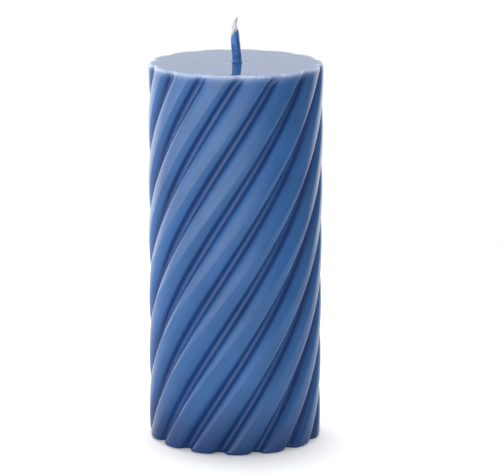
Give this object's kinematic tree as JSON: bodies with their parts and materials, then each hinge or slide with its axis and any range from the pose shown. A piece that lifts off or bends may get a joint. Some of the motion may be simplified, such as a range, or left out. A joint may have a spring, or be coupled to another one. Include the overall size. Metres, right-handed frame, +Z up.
{
  "type": "spiral pillar candle",
  "caption": "Cylindrical pillar candle with spiral lobes down its side, a flat top, and a plaited wick coated in the same wax and held by a tab in the base.",
  "frame": {"origin": "centre of the base, on the plane that the candle stands on", "axes": "+Z up along the candle's axis, -Y towards the viewer of the picture, +X to the viewer's right"},
  "size_m": [0.0684, 0.0684, 0.1677],
  "materials": {
    "coloured_wax": "smooth blue wax with a soft gloss",
    "pale_wax": "undyed off-white wax",
    "cotton": "plaited white cotton yarn",
    "tin_plate": "stamped tin-plated sheet"
  },
  "bodies": {
    "root": {"coloured_coat": "coloured_wax", "wick_coat": "coloured_wax", "wax_core": "pale_wax", "wick_strand_1": "cotton", "wick_strand_2": "cotton", "wick_strand_3": "cotton", "wick_sustainer": "tin_plate"}
  },
  "joints": []
}
